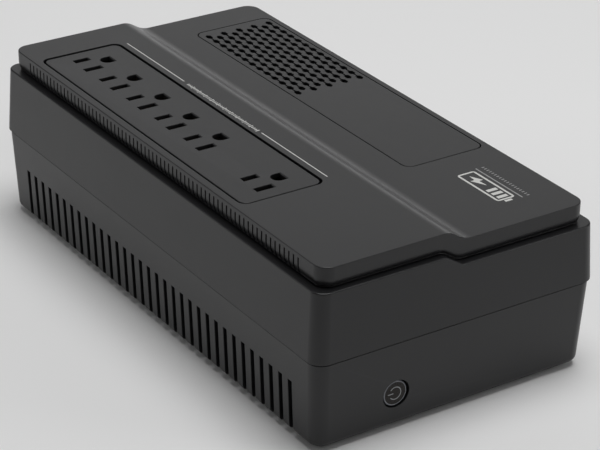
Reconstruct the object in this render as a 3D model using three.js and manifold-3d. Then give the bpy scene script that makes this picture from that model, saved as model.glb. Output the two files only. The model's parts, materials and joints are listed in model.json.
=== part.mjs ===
// Desktop uninterruptible power supply with six outlets, in millimetres.
// +Z is up, -Y is the front with the power button, -X is the raised outlet side and +X the vented low side.
// The origin is on the resting plane, under the middle of the case.
import * as THREE from 'three';
import Module from 'manifold-3d';
import { mergeVertices } from 'three/addons/utils/BufferGeometryUtils.js';

const wasm = await Module();
wasm.setup();
const { Manifold } = wasm;

// How finely curves are made, and a length beyond every part of the object.
const CORNER_STEPS = 4;
const FILLET_STEPS = 2;
const FAR = 200;

// Case: half sizes and plan corner radius at each height.
const WALL = 2.5;
const COVER_WALL = 2.2;
const GAP = 0.3;
const SEAM_Z = 47.6;
const BOTTOM = { z: 2, hx: 77.3, hy: 149.1, r: 7 };
const BASE_RIM = { z: SEAM_Z, hx: 79.4, hy: 151.6, r: 7.5 };
const UPPER_RIM = { z: SEAM_Z + GAP, hx: 80.2, hy: 152.5, r: 7.5 };
const LEDGE = { z: 83.3, hx: 78.4, hy: 150.8, r: 7 };
const COVER = { hx: 74.8, hy: 147.8, r: 7.2 };
const LIP = { thick: 1.4, below: 5, above: 3, r: 5 };
const BOTTOM_FILLET = 3.5;
const FLOOR_Z = BOTTOM.z + WALL;
const BURIED_Z = FLOOR_Z - 1;

// The stepped top: its two levels and where the slope between them starts and ends.
const TOP = { highZ: 94, lowZ: 88.1, highX: -5.8, lowX: 3.8 };
const SKIRT_DEPTH = 10.2;
const LEDGE_DEPTH = 10.7;
const PANEL_THICK = 2.5;
// Radii of the upper and the lower crease of each surface that follows the step.
const CREASE = { cover: [11, 14], coverInside: [9, 15], skirt: [8, 8], ledge: [6, 6] };

// Vents.
const SLOTS = { count: 33, pitch: 8.04, width: 3.1, topZ: 30, reach: 6 };
const SLITS = { count: 69, pitch: 3.785, width: 1, belowTop: 2.1, inward: 0.5 };
const HOLES = { rows: 9, rowPitch: 4.82, perRow: 13, pitch: 7.35, x: 48.2, y: 74.5, half: [1.3, 2.45] };

// Panels set into the cover: [low, high] of each opening, and how far the outlet panel lies below the top.
const OUTLET_OPENING = { x: [-70.7, -24.1], y: [-75.4, 125.3], r: 5.2 };
const VENT_OPENING = { x: [24.2, 71.4], y: [-73.2, 126.6], r: 5 };
const OUTLET_GAP = 1.2;
const VENT_GAP = 0.4;
const OUTLET_RECESS = 0.3;
const PANEL_TOP = TOP.highZ - OUTLET_RECESS;
// Through the deck under the cover: the socket carrier's clearance, and the airway under the vent panel.
const DECK_CLEARANCE = 0.5;
const AIRWAY = { x: [30, 68], y: [-66, 120], r: 4 };

// Sockets: blades run along X, the ground hole is on the +X side.
const SOCKET_X = -51.75;
const SOCKET_Y = [108.1, 79.75, 51.4, 23.05, -5.3, -58.2];
const BLADE_OFFSET = 6.35;
const BLADE = { width: 3.9, hot: 9, neutral: 10.4 };
const GROUND = { dx: 11.8, r: 3.75, flat: 3.4 };
const CARRIER = { x: [-69.6, -27], y: [-74.2, 123.1], floorZ: 72, floor: 2, wall: 1.6 };

// Contact strips under the sockets: bar and leaf spans along X, and how far the leaves are from the pin.
const STRIP = { z: 74.6, leafTop: 89.5, thick: 0.7, barHeight: 4, web: 1.2 };
const LINE = { bar: [-61.1, -59.9], clip: [-57, -47], dy: BLADE_OFFSET, spread: 1.7 };
const NEUTRAL = { bar: [-45.3, -44.3], clip: [-57, -47], dy: -BLADE_OFFSET, spread: 1.7 };
const GROUND_BAR = { bar: [-34.4, -33.2], clip: [-42.8, -36.8], dy: 0, spread: 3.6 };

// Power button in its well, the guide round it, and the switch and board behind it.
const BUTTON = { x: -34, z: 19.4, r: 6.7, faceY: -149.25, bevel: [1.3, 0.9], stemR: 3, flangeR: 8.4 };
const BUTTON_DEPTH = { flange: [2.1, 3.3], stem: 9 };
const STEM_END = BUTTON.faceY + BUTTON_DEPTH.stem;
const WELL = { r: 7.3, endY: -146, boreR: 8.8, boreY: [-147.5, -140] };
const GUIDE = { r: 10.2, y: [-148.5, -141.5] };
const PLUNGER = { r: 1.75, endY: -136.4 };
const SWITCH = { half: 6, y: [-137.5, -133.9], hole: 2.1, holeEndY: -134.5 };
const BUTTON_BOARD = { x: [-50, -18], y: [-133.6, -132], z: [8, 34] };

// Battery with its strap, and the floor ribs that keep it in place.
const BATTERY = { x: [-59, 35], y: [-118, 33], z: [FLOOR_Z + GAP, FLOOR_Z + GAP + 65] };
const LID_GROOVE = { fromEdge: 7, width: 1, depth: 0.6 };
const TERMINAL_Y = { positive: -104, negative: -76 };
const TERMINAL_Z = 50;
const STRAP = { y: -50, width: 20, thick: 1.2, tab: 4 };
const RIB = { gap: 0.6, thick: 1.8, topZ: 16, x: [-30, 10], y: [-20, 20] };

// Transformer: an E-I core round a winding, under a bracket.
const CORE = { x: -5, y: 83, z: FLOOR_Z + GAP, width: 80, height: 62, stack: 50, leg: 12, window: 14 };
const WINDING = { clearance: 0.5, beyond: 12.5, r: 6 };
const BRACKET = { thick: 1.5, width: 40, tabWidth: 18, tab: 4 };

// Main board on edge along the vented side, and what stands on it.
const BOARD = { x: [52, 53.6], y: [-104, 104], z: [6, 70] };
const ON_BOARD = BOARD.x[1] + GAP;
const RAIL = { thick: 1.5, topZ: 14, mainY: [-80, 80], mainHalf: 10, buttonX: [-47, -21], buttonHalf: 2 };
const HEAT_SINK = { y: [44, 82], z: [16, 64], half: 16.2, base: 2, depth: 16.5 };
const FINS = { count: 6, pitch: 6.2, half: 0.6 };
const RELAY = { y: [-78, -50, -22], z: [46, 66], depth: 15, half: 8, lid: 0.6, lidInset: 2 };
const CAPACITOR = { y: [-60, -38], z: 28, r: 7, length: 17, edge: 0.6 };
const VARISTOR = { y: -86, z: 28, r: 7, thick: 4, dx: 9 };
const FUSE = { z: 28, capR: 2.6, glassR: 2.3, half: 12.5, cap: 5.5, dx: 6 };
const FUSE_CLIP = { base: 14, z: [23, 33], depth: 9, wall: 1, floor: 3, half: 2, y: [-10, 10] };
const BUZZER = { z: 56, r: 6, height: 8.7, edge: 0.6 };

// Screws, and the posts that they go into.
const CASE_BOSSES = [[-65.5, -112], [65.5, -112], [-50, 130], [50, 130]];
const CASE_SCREW = { r: 2, length: 22, seatZ: 38, headHole: 4.1, hole: 2.3, pilotZ: 62 };
const CASE_POST = { lowerR: 5.5, upperR: 4.5 };
const COVER_BOSSES = [[-50, -112], [50, -112], [-48, 140], [50, 140]];
const COVER_SCREW = { r: 1.5, length: 9, hole: 1.8, bossR: 4, roof: 4 };
const STRAP_POSTS = [[-66, STRAP.y], [42.5, STRAP.y]];
const CORE_POSTS = [[-53, CORE.y], [43, CORE.y]];
const POST = { r: 4, topZ: 11.7, hole: 1.8, screw: 7 };
const TAB_Z = POST.topZ + GAP;

// Feet, and the back end's breaker and cord gland.
const FEET = {
  front_left: [-64, -137], front_right: [64, -137], back_left: [-64, 137], back_right: [64, 137],
};
const FOOT = { r: 7, height: 2.5, stem: 2, stemTop: 6.4, seat: 0.8 };
const BACK_Y = 150.9;
const BACK_CUT = [140, FAR];
const BREAKER = { x: 30, z: 24, r: 4.8, bore: 3.4, y: [122, 147], half: [10, 13], proud: 1.4 };
const BREAKER_NUT = { r: 7.2, thick: 1.1, sunk: 0.2 };
const RESET = { r: 3.1, startY: 141, proud: 1.5, edge: 0.8 };
const GLAND = { x: -40, z: 20, bore: 4, neck: 5.7, flange: 8.2, startY: 145, proud: 1.5 };
const BARB = { out: 1.1, endY: 146.6 };

// ---------- geometry helpers ----------

// A closed geometry as a solid: shared corners merged, collapsed triangles dropped, faces pointing out.
function solid(geometry) {
  const bare = geometry.clone();
  bare.deleteAttribute('normal');
  bare.deleteAttribute('uv');
  const merged = mergeVertices(bare, 1e-4);
  const p = merged.attributes.position.array;
  const corner = (i) => new THREE.Vector3(p[3 * i], p[3 * i + 1], p[3 * i + 2]);
  const triangles = [];
  let volume = 0;
  for (let i = 0; i < merged.index.count; i += 3) {
    const [a, b, c] = merged.index.array.slice(i, i + 3);
    if (a === b || b === c || c === a) continue;
    triangles.push([a, b, c]);
    volume += corner(a).dot(corner(b).cross(corner(c)));
  }
  const outward = triangles.flatMap(([a, b, c]) => (volume < 0 ? [a, c, b] : [a, b, c]));
  return new Manifold(new wasm.Mesh({ numProp: 3, vertProperties: p, triVerts: Uint32Array.from(outward) }));
}

const join = (...solids) => Manifold.union(solids.flat());
const cut = (body, ...tools) => body.subtract(join(...tools));

// [low, high] around a centre, and a span made longer by `by` at each end.
const around = (centre, half) => [centre - half, centre + half];
const widened = ([low, high], by) => [low - by, high + by];
// Two walls of the given thickness, a gap outside a span.
const beside = ([low, high], gap, thick) => [
  [low - gap - thick, low - gap],
  [high + gap, high + gap + thick],
];
// Centred positions of evenly spaced features.
const spaced = (count, pitch) => Array.from({ length: count }, (_, i) => (i - (count - 1) / 2) * pitch);

function box(x, y, z) {
  const size = [x, y, z].map(([low, high]) => high - low);
  const middle = [x, y, z].map(([low, high]) => (low + high) / 2);
  return solid(new THREE.BoxGeometry(...size).translate(...middle));
}

// A surface of revolution about an upright axis through (x, y): profile points are [radius, z].
function turned(x, y, profile, sides = 16) {
  const points = profile.map(([r, z]) => new THREE.Vector2(r, z));
  return solid(new THREE.LatheGeometry(points, sides).rotateX(Math.PI / 2).translate(x, y, 0));
}

// The same about an axis along Y through (x, z): profile points are [radius, y].
function turnedAlongY(x, z, profile, sides = 16) {
  const points = profile.map(([r, y]) => new THREE.Vector2(r, y));
  return solid(new THREE.LatheGeometry(points, sides).translate(x, 0, z));
}

// The same about an axis along X through (y, z): profile points are [radius, x].
function turnedAlongX(y, z, profile, sides = 16) {
  const points = profile.map(([r, x]) => new THREE.Vector2(r, x));
  return solid(new THREE.LatheGeometry(points, sides).rotateZ(-Math.PI / 2).translate(0, y, z));
}

const rod = (r, [low, high]) => [[0, low], [r, low], [r, high], [0, high]];
const post = (x, y, r, z, sides = 12) => turned(x, y, rod(r, z), sides);
const pin = (x, z, r, y, sides = 16) => turnedAlongY(x, z, rod(r, y), sides);
const posts = (places, r, z, sides) => places.map(([x, y]) => post(x, y, r, z, sides));

// A plate of the given outline between two heights.
function plate(shape, z, curveSegments = 2) {
  const options = { depth: z[1] - z[0], bevelEnabled: false, curveSegments };
  return solid(new THREE.ExtrudeGeometry(shape, options).translate(0, 0, z[0]));
}

function roundedRect({ x, y, r }, inset = 0) {
  const [x0, x1, y0, y1] = [x[0] + inset, x[1] - inset, y[0] + inset, y[1] - inset];
  const rr = r - inset;
  const shape = new THREE.Shape();
  shape.absarc(x1 - rr, y0 + rr, rr, -Math.PI / 2, 0);
  shape.absarc(x1 - rr, y1 - rr, rr, 0, Math.PI / 2);
  shape.absarc(x0 + rr, y1 - rr, rr, Math.PI / 2, Math.PI);
  shape.absarc(x0 + rr, y0 + rr, rr, Math.PI, 1.5 * Math.PI);
  shape.closePath();
  return shape;
}

// A flexible lead: a round section swept along a smooth curve through the points.
function lead(points, r) {
  const section = new THREE.Shape().absarc(0, 0, r, 0, 2 * Math.PI);
  const extrudePath = new THREE.CatmullRomCurve3(points.map((p) => new THREE.Vector3(...p)));
  return solid(new THREE.ExtrudeGeometry(section, { steps: 10, curveSegments: 3, extrudePath }));
}

// ---------- case outlines ----------

function outlineAt(low, high, z) {
  const t = (z - low.z) / (high.z - low.z);
  const mix = (key) => low[key] + (high[key] - low[key]) * t;
  return { z, hx: mix('hx'), hy: mix('hy'), r: mix('r') };
}

const inset = ({ z, hx, hy, r }, by) => ({ z, hx: hx - by, hy: hy - by, r: r - by });
const baseAt = (z, by = 0) => inset(outlineAt(BOTTOM, BASE_RIM, z), by);
const upperAt = (z, by = 0) => inset(outlineAt(UPPER_RIM, LEDGE, z), by);

function ring({ z, hx, hy, r }) {
  const points = [];
  for (const [sx, sy, start] of [[1, -1, -1], [1, 1, 0], [-1, 1, 1], [-1, -1, 2]]) {
    for (let i = 0; i <= CORNER_STEPS; i++) {
      const a = (start + i / CORNER_STEPS) * Math.PI / 2;
      points.push([sx * (hx - r) + r * Math.cos(a), sy * (hy - r) + r * Math.sin(a), z]);
    }
  }
  return points;
}

// A closed body through rounded rectangles stacked from the lowest level to the highest.
function loft(levels) {
  const rings = levels.map(ring);
  const n = rings[0].length;
  const index = [];
  for (let k = 0; k + 1 < rings.length; k++) {
    for (let i = 0; i < n; i++) {
      const [a, b] = [k * n + i, k * n + (i + 1) % n];
      index.push(a, b, b + n, a, b + n, a + n);
    }
  }
  const top = (rings.length - 1) * n;
  for (let i = 1; i + 1 < n; i++) index.push(0, i + 1, i, top, top + i, top + i + 1);
  const geometry = new THREE.BufferGeometry();
  geometry.setAttribute('position', new THREE.Float32BufferAttribute(rings.flat(2), 3));
  geometry.setIndex(index);
  return solid(geometry);
}

// Everything below the stepped top, offset downwards by `depth`, with rounded creases.
function belowTop(depth, [convexR, concaveR]) {
  const slope = Math.atan2(TOP.highZ - TOP.lowZ, TOP.lowX - TOP.highX);
  const half = Math.tan(slope / 2);
  const high = { x: TOP.highX - depth * half, z: TOP.highZ - depth };
  const low = { x: TOP.lowX - depth * half, z: TOP.lowZ - depth };
  const down = -Math.PI / 2;
  const shape = new THREE.Shape();
  shape.moveTo(-FAR, -FAR);
  shape.lineTo(FAR, -FAR);
  shape.lineTo(FAR, low.z);
  shape.absarc(low.x + concaveR * half, low.z + concaveR, concaveR, down, down - slope, true);
  shape.absarc(high.x - convexR * half, high.z - convexR, convexR, -down - slope, -down, false);
  shape.lineTo(-FAR, high.z);
  shape.closePath();
  const options = { depth: 2 * FAR, bevelEnabled: false, curveSegments: 2 };
  return solid(new THREE.ExtrudeGeometry(shape, options).rotateX(Math.PI / 2).translate(0, FAR, 0));
}

const belowLedge = (depth = 0) => belowTop(LEDGE_DEPTH + depth, CREASE.ledge);
const topAt = (x) => (x < 0 ? TOP.highZ : TOP.lowZ);

// ---------- lower shell ----------

function ventSlots() {
  const reach = BOTTOM.hx - SLOTS.reach;
  return spaced(SLOTS.count, SLOTS.pitch).flatMap((y) =>
    [[reach, FAR], [-FAR, -reach]].map((x) => box(x, around(y, SLOTS.width / 2), [0, SLOTS.topZ])));
}

function batteryRibs() {
  const z = [BURIED_Z, RIB.topZ];
  return [
    ...beside(BATTERY.x, RIB.gap, RIB.thick).map((x) => box(x, RIB.y, z)),
    ...beside(BATTERY.y, RIB.gap, RIB.thick).map((y) => box(RIB.x, y, z)),
  ];
}

// Pairs of short rails on the floor, each pair with the edge of a board between them.
function boardRails() {
  const z = [BURIED_Z, RAIL.topZ];
  return [
    ...RAIL.mainY.flatMap((y) => beside(BOARD.x, GAP, RAIL.thick).map((x) =>
      box(x, around(y, RAIL.mainHalf), z))),
    ...RAIL.buttonX.flatMap((x) => beside(BUTTON_BOARD.y, GAP, RAIL.thick).map((y) =>
      box(around(x, RAIL.buttonHalf), y, z))),
  ];
}

function baseHoles() {
  const feet = Object.values(FEET);
  return [
    ...posts(CASE_BOSSES, CASE_SCREW.headHole, [0, CASE_SCREW.seatZ]),
    ...posts(CASE_BOSSES, CASE_SCREW.hole, [CASE_SCREW.seatZ - 1, SEAM_Z + 1]),
    ...posts([...STRAP_POSTS, ...CORE_POSTS], POST.hole, [FLOOR_Z + 1, POST.topZ + 1], 8),
    ...posts(feet, FOOT.r + GAP, [0, BOTTOM.z + FOOT.seat]),
    ...posts(feet, FOOT.stem + GAP, [0, FLOOR_Z + 1]),
    pin(BUTTON.x, BUTTON.z, WELL.r, [-FAR, WELL.endY], 24),
    pin(BUTTON.x, BUTTON.z, WELL.boreR, WELL.boreY),
    pin(BREAKER.x, BREAKER.z, BREAKER.r + GAP, BACK_CUT),
    pin(GLAND.x, GLAND.z, GLAND.neck + GAP, BACK_CUT),
  ];
}

function baseShell() {
  const levels = Array.from({ length: FILLET_STEPS + 1 }, (_, k) => {
    const a = k / FILLET_STEPS * Math.PI / 2;
    return baseAt(BOTTOM.z + BOTTOM_FILLET * (1 - Math.cos(a)), BOTTOM_FILLET * (1 - Math.sin(a)));
  });
  const outer = loft([...levels, baseAt(SEAM_Z)]);
  const room = loft([baseAt(FLOOR_Z, WALL), baseAt(SEAM_Z + 1, WALL)]);
  const lipFace = inset({ ...UPPER_RIM, r: LIP.r + WALL + GAP }, WALL + GAP);
  const lipZ = [SEAM_Z - LIP.below, SEAM_Z + LIP.above];
  const lip = cut(
    loft(lipZ.map((z) => ({ ...lipFace, z }))),
    loft(widened(lipZ, 1).map((z) => inset({ ...lipFace, z }, LIP.thick))));
  const tubes = posts(CASE_BOSSES, CASE_POST.lowerR, [BURIED_Z, SEAM_Z - GAP]);
  const lowPosts = posts([...STRAP_POSTS, ...CORE_POSTS], POST.r, [BURIED_Z, POST.topZ]);
  const buttonGuide = pin(BUTTON.x, BUTTON.z, GUIDE.r, GUIDE.y);
  const shell = join(cut(outer, room), lip, batteryRibs(), boardRails(), tubes, lowPosts, buttonGuide);
  return cut(shell, ventSlots(), baseHoles());
}

// ---------- upper shell and cover ----------

function deckOpenings() {
  const sockets = { x: widened(CARRIER.x, DECK_CLEARANCE), y: widened(CARRIER.y, DECK_CLEARANCE), r: 1 };
  return [sockets, AIRWAY].map((opening) => plate(roundedRect(opening), [SEAM_Z, FAR]));
}

function upperShell() {
  const outer = loft([upperAt(UPPER_RIM.z), upperAt(TOP.highZ)]);
  const room = loft([upperAt(UPPER_RIM.z - 1, WALL), upperAt(TOP.highZ + 1, WALL)]);
  const shell = cut(outer.intersect(belowLedge()), room.intersect(belowLedge(WALL)));
  const bosses = join(posts(CASE_BOSSES, CASE_POST.upperR, [UPPER_RIM.z, TOP.highZ]));
  const pilots = posts(CASE_BOSSES, CASE_SCREW.hole, [SEAM_Z, CASE_SCREW.pilotZ]);
  const coverScrewHoles = posts(COVER_BOSSES, COVER_SCREW.hole, [SEAM_Z, FAR], 8);
  return cut(join(shell, bosses.intersect(belowLedge(1))), deckOpenings(), pilots, coverScrewHoles);
}

function coverSlits() {
  const reach = COVER.hx - COVER_WALL - SLITS.inward;
  return spaced(SLITS.count, SLITS.pitch).flatMap((y) =>
    [[-FAR, -reach], [reach, FAR]].map((x) =>
      box(x, around(y, SLITS.width / 2), [SEAM_Z, topAt(x[0]) - SLITS.belowTop])));
}

function topCover() {
  const plan = (by) => loft([SEAM_Z, FAR].map((z) => inset({ ...COVER, z }, by)));
  const outer = plan(0).intersect(belowTop(0, CREASE.cover));
  const room = plan(COVER_WALL).intersect(belowTop(PANEL_THICK, CREASE.coverInside));
  const shell = cut(outer, belowTop(SKIRT_DEPTH, CREASE.skirt), room);
  const blanks = join(posts(COVER_BOSSES, COVER_SCREW.bossR, [SEAM_Z, FAR]));
  const bosses = cut(blanks.intersect(belowTop(1, CREASE.cover)), belowLedge(-GAP));
  const pilots = COVER_BOSSES.map(([x, y]) =>
    post(x, y, COVER_SCREW.hole, [SEAM_Z, topAt(x) - COVER_SCREW.roof], 8));
  const openings = [OUTLET_OPENING, VENT_OPENING].map((place) => plate(roundedRect(place), [SEAM_Z, FAR]));
  return cut(join(shell, bosses), coverSlits(), pilots, openings);
}

// ---------- panels ----------

// The ground hole: a half round towards the blades and a straight flat end away from them.
function groundHole(y) {
  const x = SOCKET_X + GROUND.dx;
  const shape = new THREE.Shape();
  shape.moveTo(x + GROUND.flat, y - GROUND.r);
  shape.lineTo(x + GROUND.flat, y + GROUND.r);
  shape.absarc(x, y, GROUND.r, Math.PI / 2, 1.5 * Math.PI);
  shape.closePath();
  return plate(shape, [SEAM_Z, FAR], 4);
}

function socketHoles() {
  const blade = (y, length) => box(around(SOCKET_X, length / 2), around(y, BLADE.width / 2), [SEAM_Z, FAR]);
  return SOCKET_Y.flatMap((y) => [
    blade(y + BLADE_OFFSET, BLADE.hot),
    blade(y - BLADE_OFFSET, BLADE.neutral),
    groundHole(y),
  ]);
}

function outletPanel() {
  const top = plate(roundedRect(OUTLET_OPENING, OUTLET_GAP), [PANEL_TOP - PANEL_THICK, PANEL_TOP]);
  return cut(top, socketHoles());
}

// A long six-sided hole with its points along Y.
function longHole(x, y) {
  const [w, l] = HOLES.half;
  const corners = [[0, -l], [w, -l / 2], [w, l / 2], [0, l], [-w, l / 2], [-w, -l / 2]];
  return plate(new THREE.Shape(corners.map(([dx, dy]) => new THREE.Vector2(x + dx, y + dy))), [SEAM_Z, FAR]);
}

function ventPanel() {
  const top = plate(roundedRect(VENT_OPENING, VENT_GAP), [TOP.lowZ - PANEL_THICK, TOP.lowZ]);
  const holes = spaced(HOLES.rows, HOLES.rowPitch).flatMap((dx, row) =>
    spaced(HOLES.perRow - row % 2, HOLES.pitch).map((dy) => longHole(HOLES.x + dx, HOLES.y + dy)));
  return cut(top, holes);
}

function socketCarrier() {
  const { x, y, floorZ, floor, wall } = CARRIER;
  const tray = box(x, y, [floorZ, PANEL_TOP - PANEL_THICK - GAP]);
  return cut(tray, box(widened(x, -wall), widened(y, -wall), [floorZ + floor, FAR]));
}

// A bar along Y with a pair of upright leaves at each socket.
function contactStrip({ bar, clip, dy, spread }) {
  const { z, leafTop, thick, barHeight, web } = STRIP;
  const edge = spread + 0.4;
  const reach = [Math.min(clip[0] - 0.4, bar[0] + 0.2), Math.max(clip[1] + 0.4, bar[1] - 0.2)];
  const clips = SOCKET_Y.flatMap((y) => [
    box(reach, around(y + dy, edge), [z, z + web]),
    box(clip, [y + dy - spread, y + dy - spread + thick], [z + web / 2, leafTop]),
    box(clip, [y + dy + spread - thick, y + dy + spread], [z + web / 2, leafTop]),
  ]);
  const length = widened([SOCKET_Y.at(-1) + dy, SOCKET_Y[0] + dy], edge + 1);
  return join(box(bar, length, [z - GAP, z + barHeight]), clips);
}

// ---------- power button ----------

function powerButton() {
  const { x, z, r, faceY, bevel, stemR, flangeR } = BUTTON;
  const [flangeY, backY] = BUTTON_DEPTH.flange.map((depth) => faceY + depth);
  return turnedAlongY(x, z, [
    [0, faceY], [r - bevel[0], faceY], [r, faceY + bevel[1]], [r, flangeY],
    [flangeR, flangeY], [flangeR, backY], [stemR, backY], [stemR, STEM_END], [0, STEM_END],
  ], 24);
}

const switchPlunger = () => pin(BUTTON.x, BUTTON.z, PLUNGER.r, [STEM_END + GAP, PLUNGER.endY]);

function switchBody() {
  const body = box(around(BUTTON.x, SWITCH.half), SWITCH.y, around(BUTTON.z, SWITCH.half));
  return cut(body, pin(BUTTON.x, BUTTON.z, SWITCH.hole, [BUTTON.faceY, SWITCH.holeEndY]));
}

// ---------- battery and transformer ----------

function battery() {
  const { fromEdge, width, depth } = LID_GROOVE;
  const grooveX = [BATTERY.x[1] - fromEdge - width, BATTERY.x[1] - fromEdge];
  const band = box(grooveX, [-FAR, FAR], [0, FAR]);
  const core = box([0, FAR], widened(BATTERY.y, -depth), widened(BATTERY.z, -depth));
  return cut(box(BATTERY.x, BATTERY.y, BATTERY.z), cut(band, core));
}

function batteryTerminal(y) {
  const x = BATTERY.x[1] + GAP;
  return join(
    box([x, x + 0.8], around(y, 5), around(TERMINAL_Z, 6)),
    box([x, x + 6.5], around(y, 3.2), around(TERMINAL_Z, 0.4)));
}

// A strip bent over a block and down both sides to a tab on each post.
function bentOver(block, topZ, y, tabY, thick, ends) {
  const [left, right] = beside(block, GAP, thick);
  const sides = [TAB_Z, topZ + GAP + thick];
  const tabZ = [TAB_Z, TAB_Z + thick];
  return join(
    box([left[0], right[1]], y, [topZ + GAP, topZ + GAP + thick]),
    box(left, y, sides),
    box(right, y, sides),
    box([ends[0], left[1]], tabY, tabZ),
    box([right[0], ends[1]], tabY, tabZ));
}

function batteryStrap() {
  const y = around(STRAP.y, STRAP.width / 2);
  const ends = widened(STRAP_POSTS.map(([x]) => x), STRAP.tab);
  const strap = bentOver(BATTERY.x, BATTERY.z[1], y, y, STRAP.thick, ends);
  return cut(strap, posts(STRAP_POSTS, POST.hole, [POST.topZ, 2 * POST.topZ], 8));
}

function transformerBracket() {
  const sides = around(CORE.x, CORE.width / 2);
  const y = around(CORE.y, BRACKET.width / 2);
  const tabY = around(CORE.y, BRACKET.tabWidth / 2);
  const ends = widened(CORE_POSTS.map(([x]) => x), BRACKET.tab);
  const bracket = bentOver(sides, CORE.z + CORE.height, y, tabY, BRACKET.thick, ends);
  return cut(bracket, posts(CORE_POSTS, POST.hole, [POST.topZ, 2 * POST.topZ], 8));
}

function transformerCore() {
  const { x, y, z, width, height, stack, leg, window: gap } = CORE;
  const edge = width / 2 - leg;
  const windows = [[x - edge, x - edge + gap], [x + edge - gap, x + edge]];
  const block = box(around(x, width / 2), around(y, stack / 2), [z, z + height]);
  return cut(block, windows.map((span) => box(span, [0, FAR], [z + leg, z + height - leg])));
}

function transformerWinding() {
  const { x, y, z, width, height, stack, leg, window: gap } = CORE;
  const { clearance, beyond, r } = WINDING;
  const outer = width / 2 - leg - clearance;
  const inner = width / 2 - leg - gap + clearance;
  const half = stack / 2 + clearance;
  const coil = roundedRect({ x: around(x, outer), y: around(y, half + beyond), r });
  const heights = [z + leg + clearance, z + height - leg - clearance];
  return cut(plate(coil, heights), box(around(x, inner), around(y, half), [0, FAR]));
}

// ---------- boards and what stands on them ----------

// Fins along X on a base plate against the board, open upwards for the rising air.
function heatSink(y) {
  const { z, half, base, depth } = HEAT_SINK;
  const blades = spaced(FINS.count, FINS.pitch).map((dy) =>
    box([ON_BOARD + base / 2, ON_BOARD + depth], around(y + dy, FINS.half), z));
  return join(box([ON_BOARD, ON_BOARD + base], around(y, half), z), blades);
}

function relay(y) {
  const { z, depth, half, lid, lidInset } = RELAY;
  return join(
    box([ON_BOARD, ON_BOARD + depth], around(y, half), z),
    box([ON_BOARD + depth - 1, ON_BOARD + depth + lid], around(y, half - lidInset), widened(z, -lidInset)));
}

// An upright can on the board with a bevelled end.
const can = (y, z, r, x, length, edge) => turnedAlongX(y, z, [
  [0, x], [r, x], [r, x + length - edge], [r - edge, x + length], [0, x + length]]);

function varistor() {
  const { y, z, r, thick, dx } = VARISTOR;
  const legs = box([ON_BOARD, ON_BOARD + thick], around(y, 0.6), around(z, 3));
  return join(pin(ON_BOARD + dx, z, r, around(y, thick / 2), 20), legs);
}

function fuseHolder() {
  const { base, z, depth, wall, floor, half, y } = FUSE_CLIP;
  const clips = y.map((middle) => cut(
    box([ON_BOARD, ON_BOARD + depth], around(middle, half), widened(z, -wall)),
    box([ON_BOARD + floor, FAR], around(middle, half + 1), widened(z, -2 * wall))));
  return join(box([ON_BOARD, ON_BOARD + floor - 1], around(0, base), z), clips);
}

function fuse() {
  const { z, capR, glassR, half, cap, dx } = FUSE;
  return turnedAlongY(ON_BOARD + dx, z, [
    [0, -half], [capR, -half], [capR, cap - half], [glassR, cap - half],
    [glassR, half - cap], [capR, half - cap], [capR, half], [0, half]], 8);
}

// ---------- screws, feet and the back end ----------

// A pan-head screw pointing down: head above z, thread below it.
function screwDown([x, y], z, { r, length }) {
  return turned(x, y, [
    [0, z - length], [r, z - length], [r, z], [2 * r, z], [1.7 * r, z + 1.2 * r], [0, z + 1.5 * r]], 8);
}

// The same pointing up: head below z, thread above it.
function screwUp([x, y], z, { r, length }) {
  return turned(x, y, [
    [0, z - r - 0.4], [1.6 * r, z - r], [2 * r, z], [r, z], [r, z + length - 2], [0.4 * r, z + length],
    [0, z + length]], 8);
}

function foot([x, y]) {
  const { r, height, stem, stemTop } = FOOT;
  return turned(x, y, [
    [0, 0], [r - 0.6, 0], [r, 0.6], [r, height],
    [stem, height], [stem, stemTop - 1.2], [0.6 * stem, stemTop], [0, stemTop]]);
}

function breakerBody() {
  const { x, z, r, bore, y, half, proud } = BREAKER;
  const body = box(around(x, half[0]), y, around(z, half[1]));
  const bushing = pin(x, z, r, [y[1] - 1, BACK_Y + proud]);
  return cut(join(body, bushing), pin(x, z, bore, [BACK_CUT[0], FAR]));
}

function breakerNut() {
  const { r, thick, sunk } = BREAKER_NUT;
  const nut = pin(BREAKER.x, BREAKER.z, r, [BACK_Y - sunk, BACK_Y + thick], 6);
  return cut(nut, pin(BREAKER.x, BREAKER.z, BREAKER.r + GAP, [BACK_CUT[0], FAR]));
}

function breakerButton() {
  const { r, startY, proud, edge } = RESET;
  const end = BACK_Y + proud;
  return turnedAlongY(BREAKER.x, BREAKER.z, [
    [0, startY], [r, startY], [r, end - edge], [r - edge, end], [0, end]]);
}

function cordGland() {
  const { x, z, bore, neck, flange, startY, proud } = GLAND;
  const end = BACK_Y + proud;
  return turnedAlongY(x, z, [
    [bore, startY], [neck, startY], [neck + BARB.out, BARB.endY], [neck, BARB.endY], [neck, BACK_Y],
    [flange, BACK_Y], [flange - 0.6, end], [bore, end], [bore, startY]]);
}

// ---------- assembly ----------

const FINISH = {
  case: { color: 0x2a2a2b, roughness: 0.55, metalness: 0 },
  button: { color: 0x3b3834, roughness: 0.4, metalness: 0 },
  rubber: { color: 0x161616, roughness: 0.9, metalness: 0 },
  liner: { color: 0x202022, roughness: 0.6, metalness: 0 },
  steel: { color: 0xa9adb0, roughness: 0.35, metalness: 1 },
  brass: { color: 0xc9a54f, roughness: 0.35, metalness: 1 },
  copper: { color: 0x9b5a2c, roughness: 0.45, metalness: 0.6 },
  battery: { color: 0x34363a, roughness: 0.6, metalness: 0 },
  board: { color: 0x1f5a35, roughness: 0.5, metalness: 0 },
  aluminium: { color: 0xb9bcc0, roughness: 0.4, metalness: 1 },
  part: { color: 0x1b2a44, roughness: 0.5, metalness: 0 },
  red: { color: 0xa3201c, roughness: 0.5, metalness: 0 },
  black: { color: 0x18181a, roughness: 0.5, metalness: 0 },
};

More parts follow.
